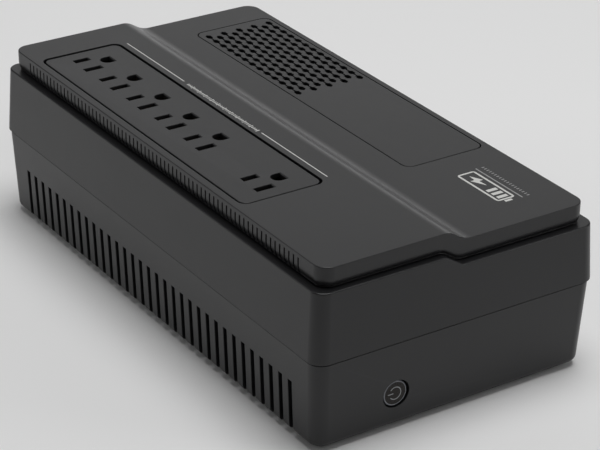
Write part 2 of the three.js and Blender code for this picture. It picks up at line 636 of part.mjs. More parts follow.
const ups = new THREE.Group();
ups.name = 'uninterruptible_power_supply';

function add(name, finish, body) {
  const { vertProperties, triVerts } = body.getMesh();
  const geometry = new THREE.BufferGeometry();
  geometry.setAttribute('position', new THREE.Float32BufferAttribute(vertProperties, 3));
  geometry.setIndex(Array.from(triVerts));
  geometry.computeVertexNormals();
  const material = new THREE.MeshStandardMaterial({ ...FINISH[finish], flatShading: true });
  const mesh = new THREE.Mesh(geometry, material);
  mesh.name = name;
  ups.add(mesh);
}

// One node for each place, numbered from 1.
const addEach = (name, finish, places, make) =>
  places.forEach((place, i) => add(`${name}_${i + 1}`, finish, make(place)));

add('base_shell', 'case', baseShell());
add('upper_shell', 'case', upperShell());
add('top_cover', 'case', topCover());
add('outlet_panel', 'case', outletPanel());
add('vent_panel', 'case', ventPanel());
Object.entries(FEET).forEach(([place, at]) => add(`foot_${place}`, 'rubber', foot(at)));
addEach('case_screw', 'steel', CASE_BOSSES, (at) => screwUp(at, CASE_SCREW.seatZ - GAP, CASE_SCREW));
addEach('cover_screw', 'steel', COVER_BOSSES, (at) =>
  screwUp(at, topAt(at[0]) - LEDGE_DEPTH - WALL - GAP, COVER_SCREW));

add('socket_carrier', 'liner', socketCarrier());
add('line_strip', 'brass', contactStrip(LINE));
add('neutral_strip', 'brass', contactStrip(NEUTRAL));
add('ground_strip', 'brass', contactStrip(GROUND_BAR));

add('power_button', 'button', powerButton());
add('switch_plunger', 'black', switchPlunger());
add('switch_body', 'black', switchBody());
add('button_board', 'board', box(BUTTON_BOARD.x, BUTTON_BOARD.y, BUTTON_BOARD.z));
const leadStartY = BUTTON_BOARD.y[1] + 0.5;
add('button_lead', 'black', lead([
  [-22, leadStartY, 26], [-22, leadStartY + 2.5, 26], [-8, -125, 29], [36, -124, 34],
  [47, -110, 39], [49, -98, 40], [BOARD.x[0] - 0.5, -98, 40]], 1));

add('battery', 'battery', battery());
Object.entries(TERMINAL_Y).forEach(([pole, y]) => {
  const z = TERMINAL_Z;
  add(`battery_terminal_${pole}`, 'brass', batteryTerminal(y));
  add(`battery_lead_${pole}`, pole === 'positive' ? 'red' : 'black', lead([
    [42.2, y, z], [44.6, y, z], [47, y, z - 4], [49.2, y, z - 8], [BOARD.x[0] - 0.5, y, z - 8]], 1.6));
});
add('battery_strap', 'steel', batteryStrap());
addEach('strap_screw', 'steel', STRAP_POSTS, (at) =>
  screwDown(at, TAB_Z + STRAP.thick + GAP, { r: 1.5, length: POST.screw }));

add('transformer_core', 'steel', transformerCore());
add('transformer_winding', 'copper', transformerWinding());
add('transformer_bracket', 'steel', transformerBracket());
addEach('transformer_screw', 'steel', CORE_POSTS, (at) =>
  screwDown(at, TAB_Z + BRACKET.thick + GAP, { r: 1.5, length: POST.screw }));
addEach('transformer_lead', 'red', [52, 40], (z) => lead([
  [8, 44.3, z], [8, 41.8, z], [14, 38.8, z + 1], [34, 38, z + 2],
  [46, 31, z + 2], [49, 30, z + 2], [BOARD.x[0] - 0.5, 30, z + 2]], 1.2));

add('main_board', 'board', box(BOARD.x, BOARD.y, BOARD.z));
addEach('heat_sink', 'aluminium', HEAT_SINK.y, heatSink);
addEach('relay', 'part', RELAY.y, relay);
addEach('capacitor', 'part', CAPACITOR.y, (y) =>
  can(y, CAPACITOR.z, CAPACITOR.r, ON_BOARD, CAPACITOR.length, CAPACITOR.edge));
add('varistor', 'part', varistor());
add('fuse_holder', 'steel', fuseHolder());
add('fuse', 'brass', fuse());
add('buzzer', 'black', can(0, BUZZER.z, BUZZER.r, ON_BOARD, BUZZER.height, BUZZER.edge));

add('breaker_body', 'black', breakerBody());
add('breaker_nut', 'steel', breakerNut());
add('breaker_reset_button', 'black', breakerButton());
add('cord_gland', 'rubber', cordGland());

export default ups;
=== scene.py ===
"""Looks of a desktop uninterruptible power supply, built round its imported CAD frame.

Solids are worked out in millimetres as (points, faces) and become meshes in metres.
+Z is up, -Y is the front with the power button, -X is the raised side with the sockets.
"""

import json
import math
from collections import namedtuple

import bmesh
import bpy
from mathutils import Matrix, Vector


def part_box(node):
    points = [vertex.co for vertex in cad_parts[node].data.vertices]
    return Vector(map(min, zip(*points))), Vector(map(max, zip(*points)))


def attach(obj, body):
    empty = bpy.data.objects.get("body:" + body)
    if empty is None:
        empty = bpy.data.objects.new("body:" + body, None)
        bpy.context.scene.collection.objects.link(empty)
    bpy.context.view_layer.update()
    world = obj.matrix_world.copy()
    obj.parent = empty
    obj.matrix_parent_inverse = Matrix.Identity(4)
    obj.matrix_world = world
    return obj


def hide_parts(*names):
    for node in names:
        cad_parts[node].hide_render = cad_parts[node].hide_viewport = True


MM = 0.001
WELD = 1e-6  # metres within which points become one
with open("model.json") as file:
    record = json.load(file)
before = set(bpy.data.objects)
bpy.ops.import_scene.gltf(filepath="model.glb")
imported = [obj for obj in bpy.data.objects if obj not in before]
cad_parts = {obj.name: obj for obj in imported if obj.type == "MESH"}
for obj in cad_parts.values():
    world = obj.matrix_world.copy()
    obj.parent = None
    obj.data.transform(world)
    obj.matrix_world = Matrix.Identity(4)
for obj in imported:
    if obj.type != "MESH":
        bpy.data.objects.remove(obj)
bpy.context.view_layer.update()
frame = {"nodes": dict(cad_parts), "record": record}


def span(node):
    """Lowest and highest corner of a CAD node, in millimetres."""
    return tuple(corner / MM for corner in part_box(node))


def middle(node):
    low, high = span(node)
    return (low + high) / 2


# ---------- sizes, from the frame and in millimetres ----------

CORNER_STEPS = 14
CREASE_STEPS = 8
FAR = 400  # past every side of the object

BASE, UPPER, LID = span("base_shell"), span("upper_shell"), span("top_cover")
OUTLETS, VENTS = span("outlet_panel"), span("vent_panel")
WALL, LID_WALL, PANEL = 2.5, 2.2, 2.5
GAP = 0.3

# The case's plan at a height: half sizes and corner radius. The lid's plan is the same at every height.
Level = namedtuple("Level", "z hx hy r")
UPPER_RIM = Level(UPPER[0].z, UPPER[1].x, UPPER[1].y, 7.5)
LEDGE = Level(UPPER[1].z, UPPER_RIM.hx - 1.8, UPPER_RIM.hy - 1.7, 7)
SEAM = 0.78  # gap between the lower case's rim and the upper case's
BASE_RIM = Level(UPPER_RIM.z - SEAM, BASE[1].x, BASE[1].y, 7.5)
BOTTOM = Level(BASE[0].z, BASE_RIM.hx - 2.1, BASE_RIM.hy - 2.5, 7)
LID_PLAN = Level(0, LID[1].x, LID[1].y, 7.2)

# The stepped top: its two levels, and the crest and foot of the slope between them. The prints lie just
# inside the lid's box.
INK_THICK = 0.03
HIGH_Z, LOW_Z = LID[1].z - INK_THICK, VENTS[1].z
CREST_X, FOOT_X = -5.8, 3.8
SKIRT_DEPTH, LEDGE_DEPTH = 10.2, 10.7
# Down the skirt's lower end as (inset, height above its end): it curls in to a groove, and a lip ends it.
QUARTER = [math.pi / 2 * k / 8 for k in range(9)]
SKIRT_END = [
    *[(1.3 * (1 - math.cos(a)), 0.6 + 4.2 * (1 - math.sin(a))) for a in QUARTER],
    (1.25, 0.5), (1.0, 0.42), (0.95, 0.35), (0.95, 0.1), (1.05, 0),
]
BOTTOM_FILLET = 3.5
FLOOR_Z = BOTTOM.z + WALL

# Vent slots along the sides of the lower case, and slits in the lid's skirt.
SLOT_COUNT, SLOT_PITCH, SLOT_WIDTH, SLOT_TOP, SLOT_REACH = 33, 8.04, 3.1, 30, 6
TOOTH_R = 2.1
SLIT_COUNT, SLIT_PITCH, SLIT_WIDTH, SLIT_DROP = 69, 3.785, 1.0, 2.1

# The sockets: a long and a short blade slot, and a ground hole with a flat side. A lead-in is (width, depth).
SOCKET_X = -51.75
SOCKET_Y = (108.1, 79.75, 51.4, 23.05, -5.3, -58.2)
BLADE_OFFSET, BLADE_WIDTH, HOT_LENGTH, NEUTRAL_LENGTH = 6.35, 3.9, 9.0, 10.4
GROUND_DX, GROUND_R, GROUND_FLAT = 11.8, 3.75, 3.4
LEAD_IN = (0.5, 0.75)

# The vent panel's pointed holes, and the groove that joins each row.
HOLE_ROWS, HOLE_ROW_PITCH, HOLES_PER_ROW, HOLE_PITCH = 9, 4.82, 13, 7.35
HOLE_MIDDLE = (48.2, 74.5)
HOLE_HALF = (1.55, 2.85)
GROOVE_HALF, GROOVE_DEPTH = 0.4, 0.9
OUTLET_GAP, VENT_GAP = 1.25, 0.5

CASE_BOSSES = ((-65.5, -112), (65.5, -112), (-50, 130), (50, 130))
COVER_BOSSES = ((-50, -112), (50, -112), (-48, 140), (50, 140))
CASE_SHANK_R, COVER_SHANK_R = 2.3, 1.8  # the screws' holes
BREAKER_HOLE_R = 5.1
FEET = ("foot_front_left", "foot_front_right", "foot_back_left", "foot_back_right")


# ---------- solids ----------


def merged(*solids):
    """Several separate solids as one."""
    points, faces = [], []
    for p, f in solids:
        faces += [[i + len(points) for i in face] for face in f]
        points += p
    return points, faces


def spaced(count, pitch):
    return [(i - (count - 1) / 2) * pitch for i in range(count)]


def arc(x, y, r, start, end, steps):
    """Points on an arc between two angles in degrees, both ends included."""
    angles = [math.radians(start + (end - start) * i / steps) for i in range(steps + 1)]
    return [(x + r * math.cos(a), y + r * math.sin(a)) for a in angles]


def box(x, y, z):
    points = [(a, b, c) for a in x for b in y for c in z]
    faces = [(0, 1, 3, 2), (4, 6, 7, 5), (0, 4, 5, 1), (2, 3, 7, 6), (0, 2, 6, 4), (1, 5, 7, 3)]
    return points, faces


def tube(rings, caps=None):
    """A closed solid through rings of equally many points. Each end is capped by the given faces."""
    n = len(rings[0])
    caps = [list(range(n))] if caps is None else caps
    last = (len(rings) - 1) * n
    faces = [
        (k * n + i, k * n + n + i, k * n + n + (i + 1) % n, k * n + (i + 1) % n)
        for k in range(len(rings) - 1)
        for i in range(n)
    ]
    faces += [list(cap) for cap in caps] + [[last + i for i in cap] for cap in caps]
    return [p for ring in rings for p in ring], faces


def looped(rings):
    """A solid through rings of equally many points, its last ring joined to its first."""
    points, faces = tube(rings + rings[:1], caps=[])
    n, count = len(rings[0]), len(rings) * len(rings[0])
    return points[:count], [[i % count for i in face] for face in faces]


def prism(outline, low, high):
    """An outline of (x, y) points between two heights."""
    return tube([[(x, y, z) for x, y in outline] for z in (low, high)])


def turned(profile, centre, axis="z", sides=64):
    """A surface of revolution through (radius, height) points about an axis through centre, along Z or Y.

    A profile that doesn't start and end on the axis is closed round its own section."""
    closed = profile[0][0] > 0
    points, rows, faces = [], [], []
    for r, h in profile:
        rows.append(range(len(points), len(points) + (sides if r > 0 else 1)))
        for i in range(sides if r > 0 else 1):
            a = 2 * math.pi * i / sides
            c, s = r * math.cos(a), r * math.sin(a)
            u, v = centre
            points.append((u + c, v + s, h) if axis == "z" else (u + c, h, v + s))
    for a, b in zip(rows, [*rows[1:], *([rows[0]] if closed else [])]):
        for i in range(sides):
            j = (i + 1) % sides
            corners = [a[i % len(a)], b[i % len(b)], b[j % len(b)], a[j % len(a)]]
            faces.append(list(dict.fromkeys(corners)))
    return points, faces


def rod(r, low, high, centre, axis="z", sides=48):
    return turned([(0, low), (r, low), (r, high), (0, high)], centre, axis, sides)


def rods(places, r, low, high):
    return merged(*[rod(r, low, high, place) for place in places])


# ---------- outlines of the case ----------


def blend(low, high, z, inset=0.0):
    """The case's outline at a height, between two levels."""
    t = (z - low.z) / (high.z - low.z)
    hx, hy, r = (a + (b - a) * t for a, b in zip(low[1:], high[1:]))
    return Level(z, hx - inset, hy - inset, r - inset)


def outline(level, breaks=(), centre=(0, 0)):
    """Points round a rounded rectangle, with the given extra x places on its two ends."""
    _, hx, hy, r = level
    x, y = hx - r, hy - r
    points = [
        *arc(x, -y, r, -90, 0, CORNER_STEPS),
        *arc(x, y, r, 0, 90, CORNER_STEPS),
        *[(b, hy) for b in reversed(breaks)],
        *arc(-x, y, r, 90, 180, CORNER_STEPS),
        *arc(-x, -y, r, 180, 270, CORNER_STEPS),
        *[(b, -hy) for b in breaks],
    ]
    return [(px + centre[0], py + centre[1]) for px, py in points]


def strips(m):
    """Faces that cap a ring from outline() with m breaks, each between two neighbouring breaks."""
    c = CORNER_STEPS + 1
    back = [2 * c + m - 1 - k for k in range(m)]
    front = [4 * c + m + k for k in range(m)]
    right = [front[-1], *range(2 * c), back[-1]]
    left = [back[0], *range(2 * c + m, 4 * c + m), front[0]]
    between = [[front[k], front[k + 1], back[k + 1], back[k]] for k in range(m - 1)]
    return [right, left, *between]


def step_profile(depth, crest_r, foot_r):
    """(x, z) points of the stepped top at a depth below it, its creases rounded, from the high side down."""
    slope = math.atan2(HIGH_Z - LOW_Z, FOOT_X - CREST_X)
    lean = math.tan(slope / 2)
    turn = math.degrees(slope)
    shift = depth * lean
    crest_x, foot_x = CREST_X - shift - crest_r * lean, FOOT_X - shift + foot_r * lean
    crest_z, foot_z = HIGH_Z - depth - crest_r, LOW_Z - depth + foot_r
    return [*arc(crest_x, crest_z, crest_r, 90, 90 - turn, CREASE_STEPS),
            *arc(foot_x, foot_z, foot_r, -90 - turn, -90, CREASE_STEPS)]


def height(profile, x):
    """Height of a profile of (x, z) points at x, level beyond its ends."""
    if x <= profile[0][0]:
        return profile[0][1]
    for (xa, za), (xb, zb) in zip(profile, profile[1:]):
        if x <= xb:
            return za + (zb - za) * (x - xa) / (xb - xa)
    return profile[-1][1]


def breaks_of(*profiles):
    """The x places of the profiles' points, without near repeats."""
    places = []
    for x in sorted(x for profile in profiles for x, _ in profile):
        if not places or x - places[-1] > 0.08:
            places.append(x)
    return places


def edge(r, steps=4):
    """(inset, drop) pairs round an edge of radius r, from the face to the side."""
    angles = [math.pi / 2 * k / steps for k in range(steps + 1)]
    return [(r * (1 - math.sin(a)), r * (1 - math.cos(a))) for a in angles]


# ---------- from solids to pieces ----------


def make(name, solid):
    points, faces = solid
    mesh = bpy.data.meshes.new(name)
    mesh.from_pydata([Vector(p) * MM for p in points], [], faces)
    bm = bmesh.new()
    bm.from_mesh(mesh)
    bmesh.ops.recalc_face_normals(bm, faces=bm.faces)
    bm.to_mesh(mesh)
    bm.free()
    piece = bpy.data.objects.new(name, mesh)
    bpy.context.scene.collection.objects.link(piece)
    return piece


def carve(piece, tools, operation="DIFFERENCE"):
    """Cuts a solid from a piece, or joins it on, and welds the points that this leaves on each other."""
    tool = make("tool", tools)
    cut = piece.modifiers.new("cut", "BOOLEAN")
    cut.operation = operation
    cut.solver = "EXACT"
    cut.object = tool
    whole = piece.evaluated_get(bpy.context.evaluated_depsgraph_get())
    mesh = bpy.data.meshes.new_from_object(whole)
    bm = bmesh.new()
    bm.from_mesh(mesh)
    bmesh.ops.remove_doubles(bm, verts=bm.verts, dist=WELD)
    bmesh.ops.dissolve_degenerate(bm, edges=bm.edges, dist=WELD)
    bm.to_mesh(mesh)
    bm.free()
    piece.modifiers.remove(cut)
    old, piece.data = piece.data, mesh
    bpy.data.meshes.remove(old)
    bpy.data.meshes.remove(tool.data)
    return piece


def soften(piece, width, angle=40):
    """Rounds a piece's sharp edges, in millimetres, and shades it smooth between them."""
    piece.data.shade_smooth()
    if width:
        bevel = piece.modifiers.new("soft_edges", "BEVEL")
        bevel.width = width * MM
        bevel.segments = 2
        bevel.limit_method = "ANGLE"
        bevel.angle_limit = math.radians(angle)
        bevel.use_clamp_overlap = False
        weld = piece.modifiers.new("weld", "WELD")
        weld.merge_threshold = WELD
    weights = piece.modifiers.new("flat_faces", "WEIGHTED_NORMAL")
    weights.weight = 100
    weights.keep_sharp = True


def place(piece, material, slot, *nodes, width, body="case"):
    """Finishes a piece: its material, its soft edges, its body and the CAD nodes that it stands for."""
    piece.data.materials.clear()
    piece.data.materials.append(material)
    soften(piece, width)
    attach(piece, body)
    if nodes:
        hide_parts(*nodes)
    return piece


# ---------- materials ----------


class Nodes:
    """A node tree with short ways to add nodes and links."""

    def __init__(self, name):
        self.material = bpy.data.materials.new(name)
        self.material.use_nodes = True
        self.tree = self.material.node_tree
        self.shader = self.tree.nodes["Principled BSDF"]

    def add(self, kind, inputs=None, **settings):
        node = self.tree.nodes.new("ShaderNode" + kind)
        for key, value in settings.items():
            setattr(node, key, value)
        for key, value in (inputs or {}).items():
            self.set(node.inputs[key], value)
        return node

    def set(self, socket, value):
        if isinstance(value, bpy.types.NodeSocket):
            self.tree.links.new(value, socket)
        else:
            socket.default_value = value

    def noise(self, where, size, detail=3.0, roughness=0.6):
        """Noise with features of about the given size in millimetres."""
        inputs = {"Vector": where, "Scale": 1 / (size * MM), "Detail": detail, "Roughness": roughness}
        return self.add("TexNoise", inputs).outputs["Fac"]

    def remap(self, value, low, high, start=0.3, end=0.7):
        inputs = {"Value": value, "From Min": start, "From Max": end, "To Min": low, "To Max": high}
        return self.add("MapRange", inputs).outputs["Result"]

    def blend(self, factor, a, b):
        node = self.add("Mix", data_type="RGBA")
        for i, value in zip((0, 6, 7), (factor, a, b)):
            self.set(node.inputs[i], value)
        return node.outputs[2]

    def bands(self, where, axis, pitch_mm, wobble=0.0):
        """Even bands across an axis, from 0 to 1 and back over each pitch in millimetres."""
        inputs = {"Vector": where, "Scale": math.pi / 10 / (pitch_mm * MM), "Distortion": wobble}
        return self.add("TexWave", inputs, bands_direction=axis).outputs["Fac"]

    def bump(self, value, height_mm, strength=1.0, below=None):
        inputs = {"Height": value, "Strength": strength, "Distance": height_mm * MM}
        if below is not None:
            inputs["Normal"] = below
        return self.add("Bump", inputs).outputs["Normal"]


def tint(color, factor):
    return (*[min(1.0, c * factor) for c in color], 1.0)


def surface(name, color, rough, grain=0.45, relief=0.012, mottle=60, vary=0.08, spread=0.012, painted_edge_highlight=0.35,
            metallic=0.0, stretch=(1, 1, 1), specular=0.38, bands=None):
    """A procedural finish: fine grain in relief, a slow drift of colour and roughness, and edges painted paler
    as a painted highlight.

    grain and mottle are sizes in millimetres. bands adds (axis, pitch, depth, darkening) grooves, as between
    laminations or turns of wire."""
    n = Nodes(name)
    coords = n.add("TexCoord").outputs["Object"]
    along = n.add("Mapping", {"Vector": coords, "Scale": stretch}).outputs["Vector"]
    fine = n.noise(along, grain, detail=4)
    slow = n.noise(coords, mottle, detail=5)
    patchy = n.noise(coords, mottle / 4, detail=2)
    # Painted highlight: sharp edges, found by pointiness, are painted paler where real edges would catch light.
    edges = n.remap(n.add("NewGeometry").outputs["Pointiness"], 0, painted_edge_highlight, 0.52, 0.58)
    shade = n.blend(n.remap(slow, 0, 1), tint(color, 1 - vary), tint(color, 1 + vary))
    shade = n.blend(edges, shade, tint(color, 1.9))
    normal = n.bump(fine, relief)
    if bands:
        axis, pitch, depth, dark = bands
        groove = n.bands(coords, axis, pitch, wobble=0.3)
        normal = n.bump(groove, depth, below=normal)
        shade = n.blend(n.remap(groove, dark, 0, 0.0, 0.5), shade, tint(color, 0.35))
    n.set(n.shader.inputs["Base Color"], shade)
    n.set(n.shader.inputs["Roughness"], n.remap(patchy, rough - spread, rough + spread))
    n.set(n.shader.inputs["Normal"], normal)
    n.shader.inputs["Metallic"].default_value = metallic
    n.shader.inputs["Specular IOR Level"].default_value = specular
    return n.material


CASE = surface("case_plastic", (0.0125, 0.0125, 0.0135), 0.33, specular=0.42)
PANELS = surface("panel_plastic", (0.0125, 0.0125, 0.0135), 0.33, mottle=24, specular=0.42)
# The button face's edges get a strong painted highlight, much paler than its face.
FACE = surface("button_plastic", (0.015, 0.0125, 0.011), 0.28, grain=0.3, mottle=3, vary=0.2, painted_edge_highlight=0.9,
               specular=0.22)
# Pale grey-blue colour is a painted highlight on the button's rim; its high gloss is a real reflection.
RING_PAINTED_HIGHLIGHT = surface("button_ring_painted_highlight", (0.15, 0.157, 0.175), 0.2, grain=0.3, relief=0.004, mottle=3, specular=0.9)
SYMBOL = surface("button_symbol", (0.30, 0.305, 0.315), 0.35, grain=0.2, relief=0.004, vary=0.1, painted_edge_highlight=0)
INK = surface("printed_ink", (0.62, 0.62, 0.60), 0.55, grain=0.2, relief=0.004, vary=0.05, painted_edge_highlight=0)
GREY_INK = surface("grey_ink", (0.30, 0.30, 0.30), 0.55, grain=0.2, relief=0.004, vary=0.05, painted_edge_highlight=0)
RUBBER = surface("rubber", (0.012, 0.012, 0.012), 0.8, grain=0.25, relief=0.02, specular=0.3)
STEEL = surface("zinc_steel", (0.55, 0.56, 0.58), 0.34, metallic=1.0, grain=1.4, relief=0.003,
                stretch=(1, 1, 0.2))
BRASS = surface("brass_strip", (0.62, 0.43, 0.17), 0.36, metallic=1.0, grain=0.8, relief=0.003,
                stretch=(1, 0.1, 1))
LINER = surface("liner_plastic", (0.012, 0.012, 0.013), 0.62)
BLACK = surface("black_plastic", (0.012, 0.012, 0.013), 0.5)
BATTERY = surface("battery_case", (0.040, 0.043, 0.050), 0.55, grain=0.8, relief=0.02, mottle=30, vary=0.15)
CORE = surface("laminations", (0.16, 0.16, 0.18), 0.42, metallic=0.8, grain=2, relief=0.01, vary=0.25,
               spread=0.06, bands=("Y", 0.5, 0.05, 0.6))
WINDING = surface("taped_winding", (0.42, 0.19, 0.06), 0.45, grain=1.2, relief=0.03, vary=0.2,
                  bands=("Z", 1.1, 0.08, 0.4))
BOARD = surface("solder_mask", (0.022, 0.115, 0.045), 0.3, grain=1.6, relief=0.02, mottle=9, vary=0.3, painted_edge_highlight=0,
                bands=("Z", 2.54, 0.03, 0.25))
LEAD_RED = surface("red_insulation", (0.40, 0.022, 0.016), 0.42, grain=0.6, relief=0.01)
LEAD_BLACK = surface("black_insulation", (0.015, 0.015, 0.016), 0.42, grain=0.6, relief=0.01)
ALUMINIUM = surface("extruded_aluminium", (0.66, 0.67, 0.69), 0.38, metallic=1.0, grain=0.5, relief=0.006,
                    stretch=(1, 1, 0.05), spread=0.05)
COMPONENT = surface("component_case", (0.020, 0.034, 0.085), 0.35, grain=0.7, relief=0.015, mottle=12,
                    vary=0.15)
NICKEL = surface("nickel_caps", (0.60, 0.59, 0.56), 0.22, metallic=1.0, grain=0.6, relief=0.003, spread=0.04)

# The finish of each material slot whose CAD nodes still show.
FINISH = {
    "steel": STEEL, "core": CORE, "liner": LINER, "brass": BRASS, "black": BLACK, "board": BOARD,
    "lead_black": LEAD_BLACK, "lead_red": LEAD_RED, "battery": BATTERY, "winding": WINDING,
    "aluminium": ALUMINIUM, "component": COMPONENT, "fuse_glass": NICKEL,
}


# ---------- case ----------


def base_shell():
    """The lower case: a shell with a lip inside its rim, screw posts, vent slots and holes for its fittings."""
    lip_rise, lip_thick, lip_drop = 3, 1.4, 5

    def ring(z, inset):
        return [(x, y, z) for x, y in outline(blend(BOTTOM, BASE_RIM, z, inset))]

    lip_x, lip_y, lip_r = UPPER_RIM.hx - WALL - GAP, UPPER_RIM.hy - WALL - GAP, 5.0

    def lip(z, inset):
        return [(x, y, z) for x, y in outline(Level(z, lip_x - inset, lip_y - inset, lip_r - inset))]

    rounded = [ring(BOTTOM.z + drop, inset) for inset, drop in edge(BOTTOM_FILLET, 6)]
    rim = [ring(BASE_RIM.z - drop, inset) for inset, drop in reversed(edge(0.35))]
    inside = [
        lip(BASE_RIM.z, 0), lip(BASE_RIM.z + lip_rise, 0), lip(BASE_RIM.z + lip_rise, lip_thick),
        lip(BASE_RIM.z - lip_drop, lip_thick), ring(BASE_RIM.z - lip_drop - 0.4, WALL), ring(FLOOR_Z, WALL),
    ]
    piece = make("lower_case", tube([*rounded, *rim, *inside]))
    posts = [rod(5.5, FLOOR_Z - 1, BASE_RIM.z - GAP, place) for place in CASE_BOSSES]
    button = middle("power_button")
    guide = rod(10.2, -148.5, -141.5, (button.x, button.z), "y")
    carve(piece, merged(*posts, guide), "UNION")
    reach, half, bottom = BOTTOM.hx - SLOT_REACH, SLOT_WIDTH / 2, BOTTOM.z + TOOTH_R
    side = arc(half + TOOTH_R, bottom, TOOTH_R, 180, 270, 8)
    slot = [(half, SLOT_TOP), *side, (half + TOOTH_R, -1)]
    slot += [(-y, z) for y, z in reversed(slot)]
    slots = [
        tube([[(x, y + dy, z) for dy, z in slot] for x in ends])
        for y in spaced(SLOT_COUNT, SLOT_PITCH)
        for ends in ((reach, FAR), (-FAR, -reach))
    ]
    carve(piece, merged(*slots))
    breaker, gland = middle("breaker_reset_button"), middle("cord_gland")
    feet = [(middle(foot).x, middle(foot).y) for foot in FEET]
    carve(piece, merged(
        rods(feet, 7.3, -1, BOTTOM.z + 0.8),
        rods(CASE_BOSSES, 4.1, -1, 38),
        rod(7.3, -FAR, -146, (button.x, button.z), "y", 96),
        rod(BREAKER_HOLE_R, 140, FAR, (breaker.x, breaker.z), "y"),
        rod(6.0, 140, FAR, (gland.x, gland.z), "y"),
    ))
    carve(piece, merged(
        rods(feet, 2.3, 0, FLOOR_Z + 1),
        rods(CASE_BOSSES, CASE_SHANK_R, 30, BASE_RIM.z + 1),
        rod(8.8, -147.5, -140, (button.x, button.z), "y", 96),
    ))
    return place(piece, CASE, "case", "base_shell", width=0.25)


def upper_shell():
    """The upper case: a shell closed by a stepped deck, open under the sockets and the vent holes."""
    ledge = step_profile(LEDGE_DEPTH, 6, 6)
    deck = step_profile(LEDGE_DEPTH + WALL, 6, 6)
    breaks = breaks_of(ledge, deck)

    def ring(profile, inset, drop=0.0, rim=None):
        low = outline(blend(UPPER_RIM, LEDGE, UPPER_RIM.z, inset), breaks)
        high = outline(blend(UPPER_RIM, LEDGE, LEDGE.z, inset), breaks)
        points = []
        for (xa, ya), (xb, yb) in zip(low, high):
            z = rim if profile is None else height(profile, xb) - drop
            t = (z - UPPER_RIM.z) / (LEDGE.z - UPPER_RIM.z)
            points.append((xa + (xb - xa) * t, ya + (yb - ya) * t, z))
        return points

    top = [ring(ledge, inset, drop) for inset, drop in edge(0.7)]
    rim = [ring(None, inset, rim=UPPER_RIM.z + drop) for inset, drop in reversed(edge(0.3))]
    inside = [ring(None, WALL, rim=UPPER_RIM.z), ring(deck, WALL)]
    piece = make("upper_case", tube([*top, *rim, *inside], strips(len(breaks))))
    posts = [rod(4.5, UPPER_RIM.z, height(ledge, x) - 1, (x, y)) for x, y in CASE_BOSSES]
    carve(piece, merged(*posts), "UNION")
    low, high = span("socket_carrier")
    carve(piece, merged(
        box((low.x - 0.5, high.x + 0.5), (low.y - 0.5, high.y + 0.5), (60, FAR)),
        prism(outline(Level(0, 19, 93, 4), centre=(49, 27)), 60, FAR),
        rods(CASE_BOSSES, CASE_SHANK_R, 40, 62),
        rods(COVER_BOSSES, COVER_SHANK_R, 60, FAR),
    ))
    return place(piece, CASE, "case", "upper_shell", width=0.25)


def lid():
    """The top cover: a stepped top with a skirt, slits in the skirt, and openings for its two panels."""
    top, skirt = step_profile(0, 11, 14), step_profile(SKIRT_DEPTH, 8, 8)
    under = step_profile(PANEL, 9, 15)
    breaks = breaks_of(top, skirt)

    def ring(profile, inset, rise=0.0):
        level = Level(0, LID_PLAN.hx - inset, LID_PLAN.hy - inset, LID_PLAN.r - inset)
        return [(x, y, height(profile, x) + rise) for x, y in outline(level, breaks)]

    rings = [
        *[ring(top, inset, -drop) for inset, drop in edge(0.45)],
        *[ring(skirt, inset, rise) for inset, rise in SKIRT_END],
        ring(skirt, LID_WALL), ring(under, LID_WALL),
    ]
    piece = make("lid", tube(rings, strips(len(breaks))))
    reach = LID_PLAN.hx - LID_WALL - 0.5
    slits = [
        box(x, (y - SLIT_WIDTH / 2, y + SLIT_WIDTH / 2), (60, z - SLIT_DROP))
        for y in spaced(SLIT_COUNT, SLIT_PITCH)
        for x, z in (((reach, FAR), LOW_Z), ((-FAR, -reach), HIGH_Z))
    ]
    carve(piece, merged(*slits))
    carve(piece, merged(*[
        prism(outline(Level(0, (high.x - low.x) / 2 + gap, (high.y - low.y) / 2 + gap, 5),
                      centre=((low.x + high.x) / 2, (low.y + high.y) / 2)), 60, FAR)
        for (low, high), gap in ((OUTLETS, OUTLET_GAP), (VENTS, VENT_GAP))
    ]))
    return place(piece, CASE, "case", "top_cover", width=0.12)


def panel(name, box_mm, r, top_edge):
    """A flat plate with a rounded upper edge."""
    low, high = box_mm
    size = ((high.x - low.x) / 2, (high.y - low.y) / 2)
    centre = ((high.x + low.x) / 2, (high.y + low.y) / 2)

    def ring(z, inset):
        level = Level(z, size[0] - inset, size[1] - inset, r - inset)
        return [(x, y, z) for x, y in outline(level, centre=centre)]

    return make(name, tube([*[ring(high.z - drop, inset) for inset, drop in edge(top_edge)], ring(low.z, 0)]))


